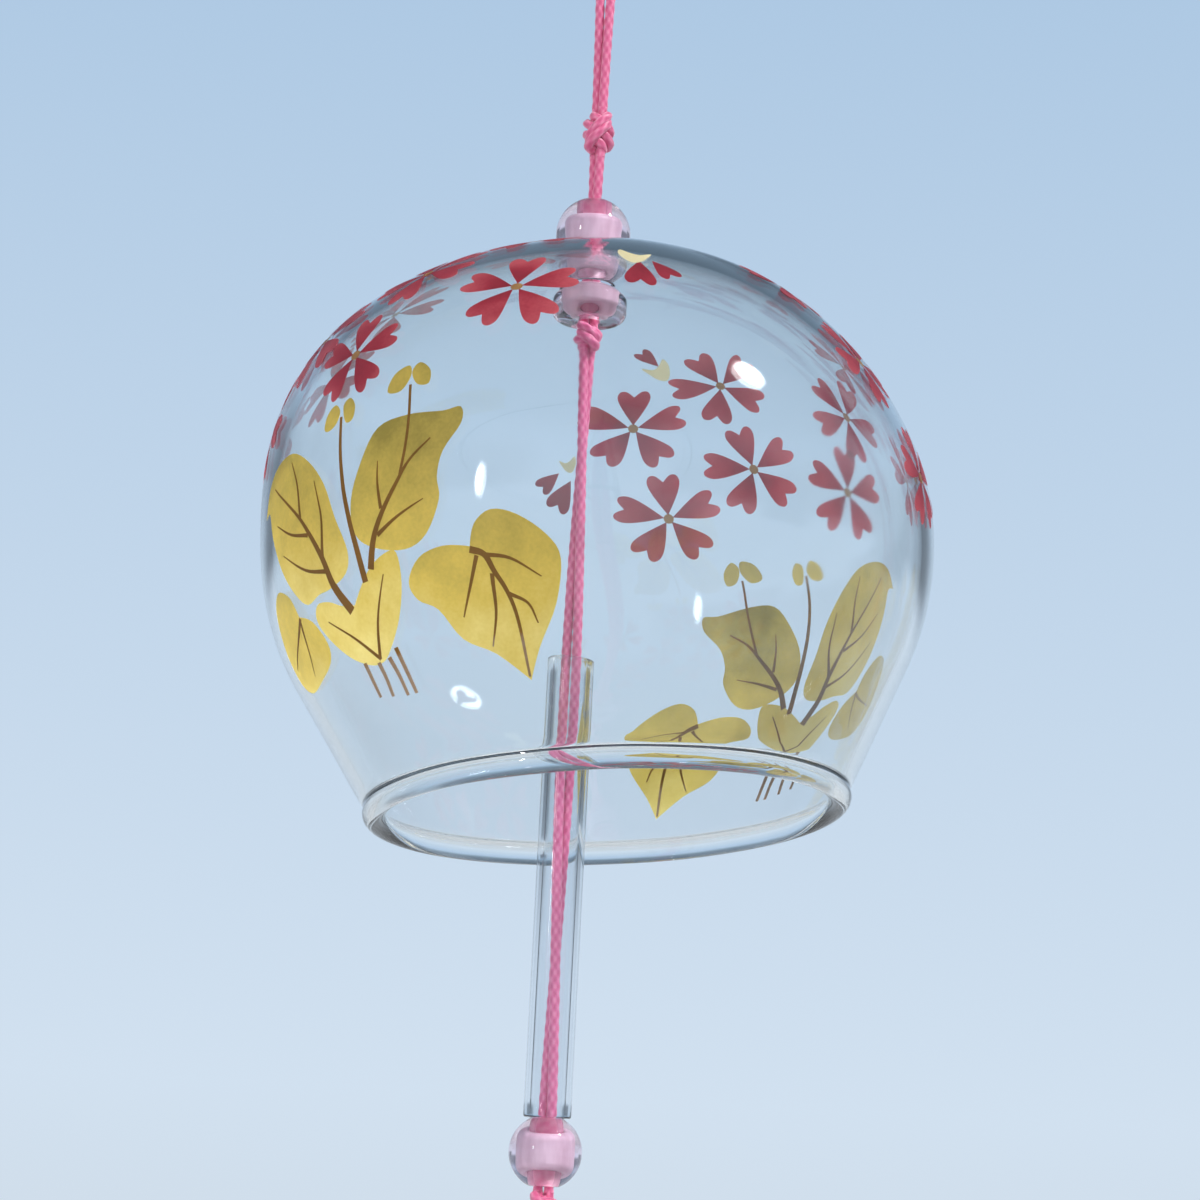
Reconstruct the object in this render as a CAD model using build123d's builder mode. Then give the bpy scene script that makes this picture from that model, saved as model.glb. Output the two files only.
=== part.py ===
"""Furin wind bell: blown glass on a doubled cord, with clear beads, a glass tube clapper and a paper strip.

Millimetres, +Z up. The origin is the inside top of the hanging loop, where the hook carries it.
The cord hangs plumb along Z. The glass bell is rocked on its bead, as the wind leaves it.
"""
import os
from math import cos, pi, radians, sin, sqrt, tan

from build123d import *

# Cord: one braided strand, doubled all the way down
CORD_D = 1.15
STRAND_GAP = 0.05
BEND_GAP = 0.5  # from a strand's end to the knot or bead that it bends at
RUN_GAP = 0.3  # between pieces that move apart

# Hanging loop and its knot
HOOK_D = 5.0
LOOP_LENGTH = 34.0
LOOP_TWIN = 15.5  # the two strands lie together this far above the knot
LOOP_SPREAD_END = 6.0  # below the loop's top, where the strands stand at the hook's width
LOOP_KNOT_BULGE = 0.72  # beyond the two strands, on each side
LOOP_KNOT_H = 5.2
STEM_LENGTH = 4.4

# Clear beads with a white barrel core
TOP_BEAD_D = 8.6
INNER_BEAD_D = 8.6
INNER_BEAD_SIDE = 3.0
INNER_BEAD_CAP = 2.1  # height of the domed crown, which the glass rocks on
INNER_BEAD_ROUND = 1.2
BOTTOM_BEAD_D = 8.0
BORE_PLAY = 0.22  # between the two strands and a bead's bore
CORE_WALL = 1.2
CORE_H = 3.2
CORE_ROUND = 0.45

# Glass bell
BELL_D = 75.0
CROWN_H = 33.4  # from the widest circle up to the top
CROWN_FULLNESS = 0.604  # 0.552 would be a plain ellipse
SIDE_R = 32.3  # side below the widest circle
SKIRT_ANGLE = 27.8  # of the straight skirt to the bell's axis
SKIRT_DROP = 29.6  # from the widest circle down to the centre of the lip
WALL = 1.3
LIP_SWELL = 0.65  # of the rolled lip beyond each side of the wall
HOLE_D = 6.0
HOLE_EDGE = 0.4
BELL_LEAN = 6.5
LEAN_HEADING = -42.0  # where the mouth swings to, from +X towards +Y
LEAN_LIMIT = 8.0

# Clapper
STOP_KNOT_BULGE = 0.55
STOP_KNOT_H = 3.4
FREE_CORD = 35.8  # from the stop knot to the tube
TUBE_PLAY = 0.68  # between the two strands and the tube's bore
TUBE_WALL = 0.75
TUBE_LENGTH = 50.6
TUBE_EDGE = 0.25
BOTTOM_KNOT_BULGE = 0.62
BOTTOM_KNOT_H = 4.4

# Paper strip and the bight of cord that carries it
STRIP_W = 32.0
STRIP_L = 110.0
STRIP_T = 0.5
STRIP_CORNER = 1.5
STRIP_HOLE_PLAY = 1.0  # all round the cord
STRIP_HOLE_DROP = 7.0
STRIP_DROP = 5.5  # from the bottom knot to the strip's top edge
BIGHT_GAP = 0.65  # below the bottom knot, so that the bight swings
BIGHT_LEAD = 1.6  # straight down from the knot, before the strands part
BIGHT_R = 3.5
BIGHT_STRAIGHT = 2.0  # above the round of the bight

KNOT_WRAP = 1.7  # height of one wrap of a knot
KNOT_GROOVE = 0.35  # between wraps

# Fits that follow from the sizes above
strand_x = (CORD_D + STRAND_GAP) / 2
twin_w = 2 * CORD_D + STRAND_GAP
bore_r = twin_w / 2 + BORE_PLAY
core_r = bore_r + CORE_WALL
core_round = min(CORE_ROUND, 0.4 * CORE_WALL)
tube_bore_r = twin_w / 2 + TUBE_PLAY
tube_r = tube_bore_r + TUBE_WALL
tube_edge = min(TUBE_EDGE, 0.4 * TUBE_WALL)
bell_r = BELL_D / 2
hole_r = HOLE_D / 2
hole_edge = min(HOLE_EDGE, 0.4 * WALL)
lip_r = WALL / 2 + LIP_SWELL
inner_bead_r = INNER_BEAD_D / 2
seat_r = (inner_bead_r**2 + INNER_BEAD_CAP**2) / (2 * INNER_BEAD_CAP)
strip_hole_r = CORD_D / 2 + STRIP_HOLE_PLAY

# Heights on the cord, from the loop down
loop_knot_top = -LOOP_LENGTH
loop_knot_bottom = loop_knot_top - LOOP_KNOT_H
stem_top = loop_knot_bottom - BEND_GAP
stem_bottom = stem_top - STEM_LENGTH
top_bead_top = stem_bottom - BEND_GAP
top_bead_z = top_bead_top - TOP_BEAD_D / 2


def crown_height(r, crown_r, crown_h):
    """Height of the crown's curve above the widest circle, at radius r."""
    low, high = 0.0, 1.0
    while high - low > 1e-9:
        t = (low + high) / 2
        x = crown_r * (3 * (1 - t) ** 2 * t * CROWN_FULLNESS + 3 * (1 - t) * t**2 + t**3)
        low, high = (t, high) if x < r else (low, t)
    return crown_h * ((1 - t) ** 3 + 3 * (1 - t) ** 2 * t + 3 * (1 - t) * t**2 * CROWN_FULLNESS)


# The glass rocks about the centre of the inner bead's crown, with its hole's rounded edge round that crown
edge_centre_r = hole_r + hole_edge
inner_edge_z = crown_height(hole_r, bell_r - WALL, CROWN_H - WALL) + hole_edge
outer_edge_z = crown_height(hole_r, bell_r, CROWN_H) - hole_edge
seat_up = sqrt((seat_r + RUN_GAP + hole_edge) ** 2 - edge_centre_r**2)
pivot_in_bell = inner_edge_z - seat_up

# The top bead sits on the hole's outer edge, clear of it while the glass rocks to its limit
lean = radians(LEAN_LIMIT)
edge_up = outer_edge_z - pivot_in_bell
raised_x = edge_centre_r * cos(lean) - edge_up * sin(lean)
raised_z = edge_centre_r * sin(lean) + edge_up * cos(lean)
top_bead_up = raised_z + sqrt((TOP_BEAD_D / 2 + RUN_GAP + hole_edge) ** 2 - raised_x**2)
pivot_z = top_bead_z - top_bead_up

inner_bead_top = pivot_z + seat_r
inner_bead_bottom = inner_bead_top - INNER_BEAD_CAP - INNER_BEAD_SIDE
stop_knot_top = inner_bead_bottom - RUN_GAP
stop_knot_bottom = stop_knot_top - STOP_KNOT_H
clapper_cord_top = stop_knot_bottom - BEND_GAP
tube_top = stop_knot_bottom - FREE_CORD
tube_bottom = tube_top - TUBE_LENGTH
# The tube's bore edge stands on the bottom bead
bore_edge_up = sqrt((BOTTOM_BEAD_D / 2 + RUN_GAP) ** 2 - tube_bore_r**2)
bottom_bead_z = tube_bottom - bore_edge_up
clapper_cord_bottom = bottom_bead_z - sqrt((BOTTOM_BEAD_D / 2) ** 2 - bore_r**2)
bottom_knot_top = clapper_cord_bottom - RUN_GAP
bottom_knot_bottom = bottom_knot_top - BOTTOM_KNOT_H
bight_top = bottom_knot_bottom - BIGHT_GAP
strip_top = bottom_knot_bottom - STRIP_DROP
hole_z = strip_top - STRIP_HOLE_DROP
bight_z = hole_z + strip_hole_r - RUN_GAP - CORD_D / 2

os.makedirs("parts", exist_ok=True)


def finish(piece, name):
    """Label one piece and write it."""
    piece.label = name
    export_step(piece, f"parts/{name}.step")


def cord_tube(points, hook_corners, hook_r):
    """Round cord along straight runs with tangent arcs, as wide as the runs allow or as the hook is."""

    def room(corner, beside):
        run = (points[beside] - points[corner]).length
        if beside in (0, len(points) - 1):
            return run
        return run - hook_r if beside in hook_corners else run / 2

    radii = []
    for i in range(1, len(points) - 1):
        half_turn = radians((points[i] - points[i - 1]).get_angle(points[i + 1] - points[i])) / 2
        wide = 0.9 * min(room(i, i - 1), room(i, i + 1)) / tan(half_turn)
        radii.append(hook_r if i in hook_corners else wide)
    with BuildPart() as tube:
        with BuildLine() as path:
            FilletPolyline(*points, radius=radii)
        with BuildSketch(Plane(origin=points[0], z_dir=points[1] - points[0])):
            Circle(CORD_D / 2)
        sweep(path=path.wire())
    length = path.wire().length
    print("arc radii", [round(r, 2) for r in radii], "length", round(length, 1))
    print("volume", round(tube.part.volume, 2), "section times length", round(pi * CORD_D**2 / 4 * length, 2))
    return tube.part


def twin_strands(top, bottom):
    """Two straight strands side by side."""
    with BuildPart() as strands:
        with BuildSketch(Plane.XY.offset(bottom)):
            with Locations((-strand_x, 0), (strand_x, 0)):
                Circle(CORD_D / 2)
        extrude(amount=top - bottom)
    return strands.part


def wrapped_knot(top, height, bulge):
    """Knot drawn tight: wraps of cord with grooves between them, flat where the strands go in."""
    wraps = max(2, round(height / KNOT_WRAP))
    step = height / wraps
    wrap_r = twin_w / 2 + bulge
    groove_r = wrap_r - KNOT_GROOVE
    with BuildPart() as knot:
        with BuildSketch(Plane.XZ):
            with BuildLine():
                for i in range(wraps):
                    z = top - i * step
                    ThreePointArc((groove_r, z), (wrap_r, z - step / 2), (groove_r, z - step))
                Polyline((groove_r, top - height), (0, top - height), (0, top), (groove_r, top))
            make_face()
        revolve(axis=Axis.Z)
    return knot.part


def core_form(z):
    """Outside of a bead's barrel core."""
    with BuildPart() as form:
        with Locations((0, 0, z)):
            Cylinder(core_r, CORE_H)
        fillet(form.edges().filter_by(GeomType.CIRCLE), core_round)
    return form.part


def bead_core(z):
    """White barrel with the bead's bore through it."""
    with BuildPart() as core:
        add(core_form(z))
        with Locations((0, 0, z)):
            Cylinder(bore_r, 2 * CORE_H, mode=Mode.SUBTRACT)
    return core.part


def round_bead_shell(z, diameter):
    """Clear ball moulded round its core, with a bore."""
    with BuildPart() as shell:
        with Locations((0, 0, z)):
            Sphere(diameter / 2)
            Cylinder(bore_r, 2 * diameter, mode=Mode.SUBTRACT)
        add(core_form(z), mode=Mode.SUBTRACT)
    return shell.part


# Hanging loop: both strands rise together, then part round the hook
hook_bend_r = (HOOK_D + CORD_D) / 2
loop_half = [
    Vector(-strand_x, 0, loop_knot_top),
    Vector(-strand_x, 0, loop_knot_top + LOOP_TWIN),
    Vector(-hook_bend_r, 0, -LOOP_SPREAD_END),
    Vector(-hook_bend_r, 0, CORD_D / 2),
]
loop_points = loop_half + [Vector(-p.X, 0, p.Z) for p in reversed(loop_half)]
finish(cord_tube(loop_points, (3, 4), 0.999 * hook_bend_r), "hanging_loop")
finish(wrapped_knot(loop_knot_top, LOOP_KNOT_H, LOOP_KNOT_BULGE), "loop_knot")
finish(twin_strands(stem_top, stem_bottom), "stem_cord")

# Beads on the neck, above and below the glass
finish(round_bead_shell(top_bead_z, TOP_BEAD_D), "top_bead_shell")
finish(bead_core(top_bead_z), "top_bead_core")
finish(twin_strands(top_bead_top, inner_bead_bottom), "neck_cord")
inner_core_z = (inner_bead_top + inner_bead_bottom) / 2
with BuildPart() as inner_bead_shell:
    with BuildSketch(Plane.XZ) as profile:
        with Locations((inner_bead_r / 2, inner_core_z)):
            Rectangle(inner_bead_r, INNER_BEAD_CAP + INNER_BEAD_SIDE)
        with Locations((0, pivot_z)):
            Circle(seat_r, mode=Mode.INTERSECT)
        fillet(profile.vertices().group_by(Axis.X)[-1], min(INNER_BEAD_ROUND, 0.45 * INNER_BEAD_SIDE))
    revolve(axis=Axis.Z)
    with Locations((0, 0, inner_core_z)):
        Cylinder(bore_r, 2 * INNER_BEAD_D, mode=Mode.SUBTRACT)
    add(core_form(inner_core_z), mode=Mode.SUBTRACT)
finish(inner_bead_shell.part, "inner_bead_shell")
finish(bead_core(inner_core_z), "inner_bead_core")

# Glass bell: one wall from the hole over the crown and down the skirt to the rolled lip
turn = radians(SKIRT_ANGLE)
side_x = bell_r - SIDE_R
skirt_run = (SKIRT_DROP - (SIDE_R - WALL / 2) * sin(turn)) / cos(turn)
lip_x = side_x + (SIDE_R - WALL / 2) * cos(turn) - skirt_run * sin(turn)
outer_end = (lip_x + WALL / 2 * cos(turn), -SKIRT_DROP - WALL / 2 * sin(turn))
inner_end = (lip_x - WALL / 2 * cos(turn), -SKIRT_DROP + WALL / 2 * sin(turn))
heading = radians(LEAN_HEADING)
tilt = radians(BELL_LEAN)
bell_up = Vector(-sin(tilt) * cos(heading), -sin(tilt) * sin(heading), cos(tilt))
widest = Vector(0, 0, pivot_z) - bell_up * pivot_in_bell
bell_frame = Plane(origin=widest, x_dir=Vector(cos(tilt), 0, sin(tilt) * cos(heading)), z_dir=bell_up)
section = Plane(origin=widest, x_dir=bell_frame.x_dir, z_dir=-bell_frame.y_dir)
with BuildPart() as glass_bell:
    with BuildSketch(section) as wall:
        with BuildLine():
            for r, h in ((bell_r, CROWN_H), (bell_r - WALL, CROWN_H - WALL)):
                Bezier((0, h), (CROWN_FULLNESS * r, h), (r, CROWN_FULLNESS * h), (r, 0))
            outer_side = CenterArc((side_x, 0), SIDE_R, 0, -SKIRT_ANGLE)
            inner_side = CenterArc((side_x, 0), SIDE_R - WALL, 0, -SKIRT_ANGLE)
            Polyline(outer_side @ 1, outer_end, inner_end, inner_side @ 1)
            Line((0, CROWN_H), (0, CROWN_H - WALL))
        make_face()
        with Locations((lip_x, -SKIRT_DROP)):
            Circle(lip_r)
        with Locations((0, CROWN_H)):
            Rectangle(HOLE_D, 4 * WALL, mode=Mode.SUBTRACT)
        fillet(wall.vertices().filter_by_position(Axis.X, hole_r - 0.01, hole_r + 0.01), hole_edge)
    revolve(axis=Axis(widest, bell_up))
finish(glass_bell.part, "glass_bell")

# Clapper: the cord goes on through a loose glass tube to the bottom bead and its knot
finish(wrapped_knot(stop_knot_top, STOP_KNOT_H, STOP_KNOT_BULGE), "stop_knot")
finish(twin_strands(clapper_cord_top, clapper_cord_bottom), "clapper_cord")
with BuildPart() as clapper_tube:
    with BuildSketch(Plane.XY.offset(tube_bottom)):
        Circle(tube_r)
        Circle(tube_bore_r, mode=Mode.SUBTRACT)
    extrude(amount=TUBE_LENGTH)
    fillet(clapper_tube.edges().filter_by(GeomType.CIRCLE), tube_edge)
finish(clapper_tube.part, "clapper_tube")
finish(round_bead_shell(bottom_bead_z, BOTTOM_BEAD_D), "bottom_bead_shell")
finish(bead_core(bottom_bead_z), "bottom_bead_core")
finish(wrapped_knot(bottom_knot_top, BOTTOM_KNOT_H, BOTTOM_KNOT_BULGE), "bottom_knot")

# Paper strip on the cord's last bight: one strand goes to the front, one to the back, through its hole
bight_half = [
    Vector(-strand_x, 0, bight_top),
    Vector(-strand_x, 0, bight_top - BIGHT_LEAD),
    Vector(0, -BIGHT_R, bight_z + BIGHT_R + BIGHT_STRAIGHT),
    Vector(0, -BIGHT_R, bight_z),
]
bight_points = bight_half + [Vector(-p.X, -p.Y, p.Z) for p in reversed(bight_half)]
finish(cord_tube(bight_points, (3, 4), 0.999 * BIGHT_R), "strip_loop")
with BuildPart() as paper_strip:
    with BuildSketch(Plane.XZ) as outline:
        with Locations((0, strip_top - STRIP_L / 2)):
            Rectangle(STRIP_W, STRIP_L)
        fillet(outline.vertices(), STRIP_CORNER)
        with Locations((0, hole_z)):
            Circle(strip_hole_r, mode=Mode.SUBTRACT)
    extrude(amount=STRIP_T / 2, both=True)
finish(paper_strip.part, "paper_strip")

print("pivots: stem", round(stem_top, 3), "line", round(stem_bottom, 3), "glass", round(pivot_z, 3))
print("clapper", round(clapper_cord_top, 3), "bight", round(bight_top, 3), "strip", round(bight_z, 3))
print("widest", [round(v, 3) for v in widest], "up", [round(v, 4) for v in bell_up], "lip radius", round(lip_x, 3))
print("tube top", round(tube_top, 2), "bottom", round(tube_bottom, 2), "strip bottom", round(strip_top - STRIP_L, 2))
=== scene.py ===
from math import atan2, ceil, cos, degrees, hypot, pi, radians, sin, sqrt

import bpy
from mathutils import Matrix, Vector, noise
from mathutils.geometry import delaunay_2d_cdt


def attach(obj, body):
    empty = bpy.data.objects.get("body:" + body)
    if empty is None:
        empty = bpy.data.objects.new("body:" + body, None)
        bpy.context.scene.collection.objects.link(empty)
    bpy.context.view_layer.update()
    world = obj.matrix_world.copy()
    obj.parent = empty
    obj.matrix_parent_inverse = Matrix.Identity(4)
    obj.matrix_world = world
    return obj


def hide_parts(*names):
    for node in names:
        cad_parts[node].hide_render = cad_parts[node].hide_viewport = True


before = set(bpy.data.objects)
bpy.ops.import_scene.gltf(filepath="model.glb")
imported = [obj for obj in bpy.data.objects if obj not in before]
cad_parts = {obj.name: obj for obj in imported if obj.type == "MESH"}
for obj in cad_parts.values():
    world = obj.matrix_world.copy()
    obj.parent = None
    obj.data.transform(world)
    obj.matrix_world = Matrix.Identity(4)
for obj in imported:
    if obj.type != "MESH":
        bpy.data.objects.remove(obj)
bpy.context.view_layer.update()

# Hanging loop
# One braided nylon cord in hot pink, folded in two. The fold goes over the hook,
# the two strands close up on the way down and go into the loop knot side by side.
MM = 0.001
CORD_R, STRAND_X = 0.575 * MM, 0.6 * MM
CORD_SIDES, CORD_STEP = 20, 0.16 * MM
BRAID_WAVES, BRAID_PITCH, BRAID_RELIEF = 4, 1.5 * MM, 0.07


def there_and_back(half):
    """The route of a bight, in metres, from its first half in millimetres. The second half mirrors it."""
    return [Vector(p) * MM for p in half + [(-x, -y, z) for x, y, z in reversed(half)]]


def smooth_line(points):
    """Points along the smooth curve that a cord takes past the points of its route."""
    line = bpy.data.curves.new("cord_route", "CURVE")
    line.dimensions = "3D"
    line.resolution_u = 24
    spline = line.splines.new("NURBS")
    spline.points.add(len(points) - 1)
    for point, place in zip(spline.points, points):
        point.co = (*place, 1)
    spline.order_u = 3
    spline.use_endpoint_u = True
    holder = bpy.data.objects.new("cord_route", line)
    mesh = bpy.data.meshes.new_from_object(holder)
    places = [v.co.copy() for v in mesh.vertices]
    bpy.data.objects.remove(holder)
    bpy.data.curves.remove(line)
    bpy.data.meshes.remove(mesh)
    return places


def even_steps(places, step):
    """The same line with its points a steady step apart."""
    run = [0.0]
    for a, b in zip(places, places[1:]):
        run.append(run[-1] + (b - a).length)
    count = max(2, ceil(run[-1] / step))
    out, i = [], 0
    for k in range(count + 1):
        s = run[-1] * k / count
        while i < len(run) - 2 and run[i + 1] < s:
            i += 1
        part = (s - run[i]) / max(run[i + 1] - run[i], 1e-12)
        out.append(places[i].lerp(places[i + 1], part))
    return out


def surface(name, verts, faces, uvs=None):
    """A smooth-shaded object from points and faces."""
    mesh = bpy.data.meshes.new(name)
    mesh.from_pydata([tuple(v) for v in verts], [], faces)
    mesh.shade_smooth()
    if uvs:
        layer = mesh.uv_layers.new(name="along")
        layer.data.foreach_set("uv", [c for uv in uvs for c in uv])
    piece = bpy.data.objects.new(name, mesh)
    bpy.context.scene.collection.objects.link(piece)
    return piece


def braided(name, lines):
    """Braided cord along each line: round, with the low diamond relief of eight carriers."""
    verts, faces, uvs = [], [], []
    for line in lines:
        places = even_steps(line, CORD_STEP)
        first, run, side = len(verts), 0.0, None
        for k, here in enumerate(places):
            ahead = (places[min(k + 1, len(places) - 1)] - places[max(k - 1, 0)]).normalized()
            if side is None:
                side = ahead.orthogonal().normalized()
            side = (side - ahead * side.dot(ahead)).normalized()
            across = ahead.cross(side)
            run_before = run
            run += (here - places[k - 1]).length if k else 0.0
            for j in range(CORD_SIDES):
                a = 2 * pi * j / CORD_SIDES
                weave = cos(BRAID_WAVES * a) * cos(2 * pi * run / BRAID_PITCH)
                relief = 1 - BRAID_RELIEF + BRAID_RELIEF * weave
                verts.append(here + (side * cos(a) + across * sin(a)) * CORD_R * relief)
            if k:
                ring, before = first + k * CORD_SIDES, first + (k - 1) * CORD_SIDES
                low, high = run_before / MM, run / MM
                for j in range(CORD_SIDES):
                    n = (j + 1) % CORD_SIDES
                    faces.append((before + j, before + n, ring + n, ring + j))
                    u, w = j / CORD_SIDES, (j + 1) / CORD_SIDES
                    uvs += [(u, low), (w, low), (w, high), (u, high)]
        faces.append(tuple(range(first + CORD_SIDES - 1, first - 1, -1)))
        faces.append(tuple(range(len(verts) - CORD_SIDES, len(verts))))
        uvs += [(0, 0)] * (2 * CORD_SIDES)
    return surface(name, verts, faces, uvs)


class Recipe:
    """The recipe of a finish or a light: its nodes, and what feeds what."""

    def __init__(self, tree):
        self.nodes, self.link = tree.nodes, tree.links.new

    def feed(self, socket, value):
        """Set a socket to a number or a colour, or link it to the socket that it takes them from."""
        if isinstance(value, bpy.types.NodeSocket):
            self.link(value, socket)
        else:
            socket.default_value = value

    def fill(self, node, **values):
        """Feed a node's sockets by name, with _ for each space."""
        for name, value in values.items():
            self.feed(node.inputs[name.replace("_", " ")], value)
        return node

    def node(self, kind, **values):
        """One node with its values."""
        return self.fill(self.nodes.new("ShaderNode" + kind), **values)

    def math(self, operation, *values):
        """The result of one sum."""
        node = self.node("Math")
        node.operation = operation
        for socket, value in zip(node.inputs, values):
            self.feed(socket, value)
        return node.outputs[0]

    def blend(self, first, second, share):
        """Two values added, with a share of the second."""
        return self.math("ADD", self.math("MULTIPLY", first, 1 - share), self.math("MULTIPLY", second, share))

    def ramp(self, value, stops):
        """Colours by a value between 0 and 1."""
        node = self.node("ValToRGB", Fac=value)
        while len(node.color_ramp.elements) < len(stops):
            node.color_ramp.elements.new(0.5)
        for element, (place, colour) in zip(node.color_ramp.elements, stops):
            element.position = place
            element.color = (*colour, 1)
        return node.outputs["Color"]

    def spot(self):
        """Where a point lies on its piece."""
        return self.node("TexCoord").outputs["Object"]

    def stretched(self, vector, scale):
        """The same place, stretched along some of its directions."""
        return self.node("Mapping", Vector=vector, Scale=scale).outputs["Vector"]

    def speckle(self, vector, scale, detail=2.0):
        """Noise at a scale, between 0 and 1."""
        return self.node("TexNoise", Vector=vector, Scale=scale, Detail=detail).outputs["Fac"]

    def bump(self, shader, height, strength, distance):
        """Raised and sunk detail that only the light sees."""
        node = self.node("Bump", Height=height, Strength=strength, Distance=distance)
        self.link(node.outputs["Normal"], shader.inputs["Normal"])


def new_material(name):
    """A material, its recipe and its main shader."""
    material = bpy.data.materials.new(name)
    material.use_nodes = True
    recipe = Recipe(material.node_tree)
    return material, recipe, recipe.nodes["Principled BSDF"]


PINKS_DARK_IN_GROOVES = [(0.1, (0.55, 0.065, 0.18)), (0.5, (0.74, 0.14, 0.31)), (0.9, (0.88, 0.34, 0.52))]
pink_cord, recipe, shader = new_material("pink_braided_cord")
along = recipe.node("UVMap")
along.uv_map = "along"
round_and_along = recipe.node("SeparateXYZ", Vector=along.outputs["UV"]).outputs
round_wave = recipe.math("COSINE", recipe.math("MULTIPLY", round_and_along["X"], 2 * pi * BRAID_WAVES))
long_wave = recipe.math("COSINE", recipe.math("MULTIPLY", round_and_along["Y"], 2 * pi * MM / BRAID_PITCH))
carriers = recipe.math("MULTIPLY_ADD", recipe.math("MULTIPLY", round_wave, long_wave), 0.5, 0.5)
fibres = recipe.speckle(recipe.stretched(along.outputs["UV"], (9.0, 0.9, 1.0)), 6.0, 3.0)
# The ramp makes the cord darker where the braid sinks, which is painted shade in the grooves. The fibre noise
# is the cord's own fine variation.
braid_relief_and_groove_shade = recipe.blend(carriers, fibres, 0.5)
recipe.bump(shader, braid_relief_and_groove_shade, 0.5, 0.06 * MM)
recipe.fill(shader, Base_Color=recipe.ramp(braid_relief_and_groove_shade, PINKS_DARK_IN_GROOVES), Roughness=0.36)
recipe.fill(shader, Sheen_Weight=0.5, Sheen_Tint=(1.0, 0.75, 0.85, 1))

LOOP_HALF = [
    (-0.35, 0.47, -34.0), (-0.45, 0.3, -27.0), (-0.6, 0.05, -20.0),
    (-0.8, 0, -15.0), (-3.075, 0, -5.5), (-3.075, 0, 0.575),
]
loop_line = smooth_line(there_and_back(LOOP_HALF))
hanging_loop = braided("hanging_loop_cord", [loop_line])
hanging_loop.data.materials.append(pink_cord)
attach(hanging_loop, "hanger")
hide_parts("hanging_loop")


# Loop knot
# The same cord, both strands tied in one overhand knot and drawn tight,
# so that the wraps lie close and one strand crosses them on the front.
def tied_knot(name, body, top, bottom, width, wraps, slant, cross, above, below):
    """Doubled wraps of cord drawn tight round the two strands, with a doubled crossing on the front.

    cross is the way that the crossing leans, above and below the angles at which the strands leave."""
    reach = width / 2 - CORD_R
    high, low = top - CORD_R, bottom + CORD_R
    lines, steps = [], int(40 * wraps)
    for lead in (0.0, pi):
        coil = []
        for k in range(steps + 1):
            part = k / steps
            a = 2 * pi * wraps * part + lead
            tuck = min(1.0, 4.0 * part + 0.3, 4.0 * (1 - part) + 0.3)
            z = high + (low - high) * part + cross * slant * cos(a) * tuck
            coil.append(Vector((reach * tuck * cos(a), 0.9 * reach * tuck * sin(a), min(high, max(low, z)))))
        lines.append(coil)
    middle, rise = (top + bottom) / 2, (top - bottom) / 2 - CORD_R
    crossing = [
        (-0.3, 0, 1.0), (-0.95, -0.8, 0.75), (-0.3, -1.45, 0.25),
        (0.45, -1.45, -0.35), (1.0, -0.7, -0.8), (0.3, 0, -1.0),
    ]
    for apart in (-0.9 * CORD_R, 0.9 * CORD_R):
        lines.append(smooth_line([
            Vector((x * cross * reach, y * reach, middle + z * rise + (apart if y else 0.0)))
            for x, y, z in crossing
        ]))
    for side, over in ((0, 0.45 * MM), (pi, 0.45 * MM), (pi / 2, -CORD_R), (-pi / 2, -CORD_R)):
        lines.append([
            Vector((STRAND_X * cos(above + side), STRAND_X * sin(above + side), top + over)),
            Vector((STRAND_X * cos(below + side), STRAND_X * sin(below + side), bottom - over)),
        ])
    knot = braided(name, lines)
    knot.data.materials.append(pink_cord)
    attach(knot, body)
    return knot


loop_knot = tied_knot(
    "loop_knot_tied", "hanger", top=-34.0 * MM, bottom=-39.2 * MM, width=3.8 * MM,
    wraps=1.5, slant=0.5 * MM, cross=-1, above=-0.93, below=-0.95,
)
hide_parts("loop_knot")


# Stem
# The same two strands between the loop knot and the top bead, twisted a little round each other.
# The knot holds them above, and below they go down into the bore of the bead.
def twin_strands(name, body, heights, start, twist):
    """Two strands down the plumb line past some heights, from a start angle through a twist."""
    middle = even_steps(smooth_line([Vector((0, 0, z)) * MM for z in heights]), 0.4 * MM)
    lines = [[], []]
    for k, here in enumerate(middle):
        a = start + twist * k / (len(middle) - 1)
        for line, way in zip(lines, (1, -1)):
            line.append(here + Vector((way * STRAND_X * cos(a), way * STRAND_X * sin(a), 0)))
    strands = braided(name, lines)
    strands.data.materials.append(pink_cord)
    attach(strands, body)
    return strands, middle


stem, _ = twin_strands("stem_strands", "stem", heights=[-38.6, -42.0, -45.2], start=-0.95, twist=-0.25)
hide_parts("stem_cord")

# Top bead
# A clear acrylic ball moulded round a white barrel, with a bore for the cord.
# It sits on the hole at the top of the glass.
BORE_R, RIM_EASE = 1.28 * MM, 0.3 * MM
CORE_R, CORE_SOFT, CORE_HALF, CORE_GAP = 2.15 * MM, 0.62 * MM, 1.55 * MM, 0.03 * MM


def turned(name, outline, segments=96, place=None):
    """A closed outline of radius and height, turned about the cord."""
    verts, faces = [], []
    for r, z in outline:
        for j in range(segments):
            a = 2 * pi * j / segments
            verts.append(place(r, z, a) if place else Vector((r * cos(a), r * sin(a), z)))
    for k in range(len(outline)):
        ring, after = k * segments, (k + 1) % len(outline) * segments
        for j in range(segments):
            n = (j + 1) % segments
            faces.append((ring + j, after + j, after + n, ring + n))
    return surface(name, verts, faces)


def arc(x, z, radius, start, end, count):
    """Points of an arc in a section, by angles from the outward side."""
    angles = [radians(start + (end - start) * k / count) for k in range(count + 1)]
    return [(x + radius * cos(a), z + radius * sin(a)) for a in angles]


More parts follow.
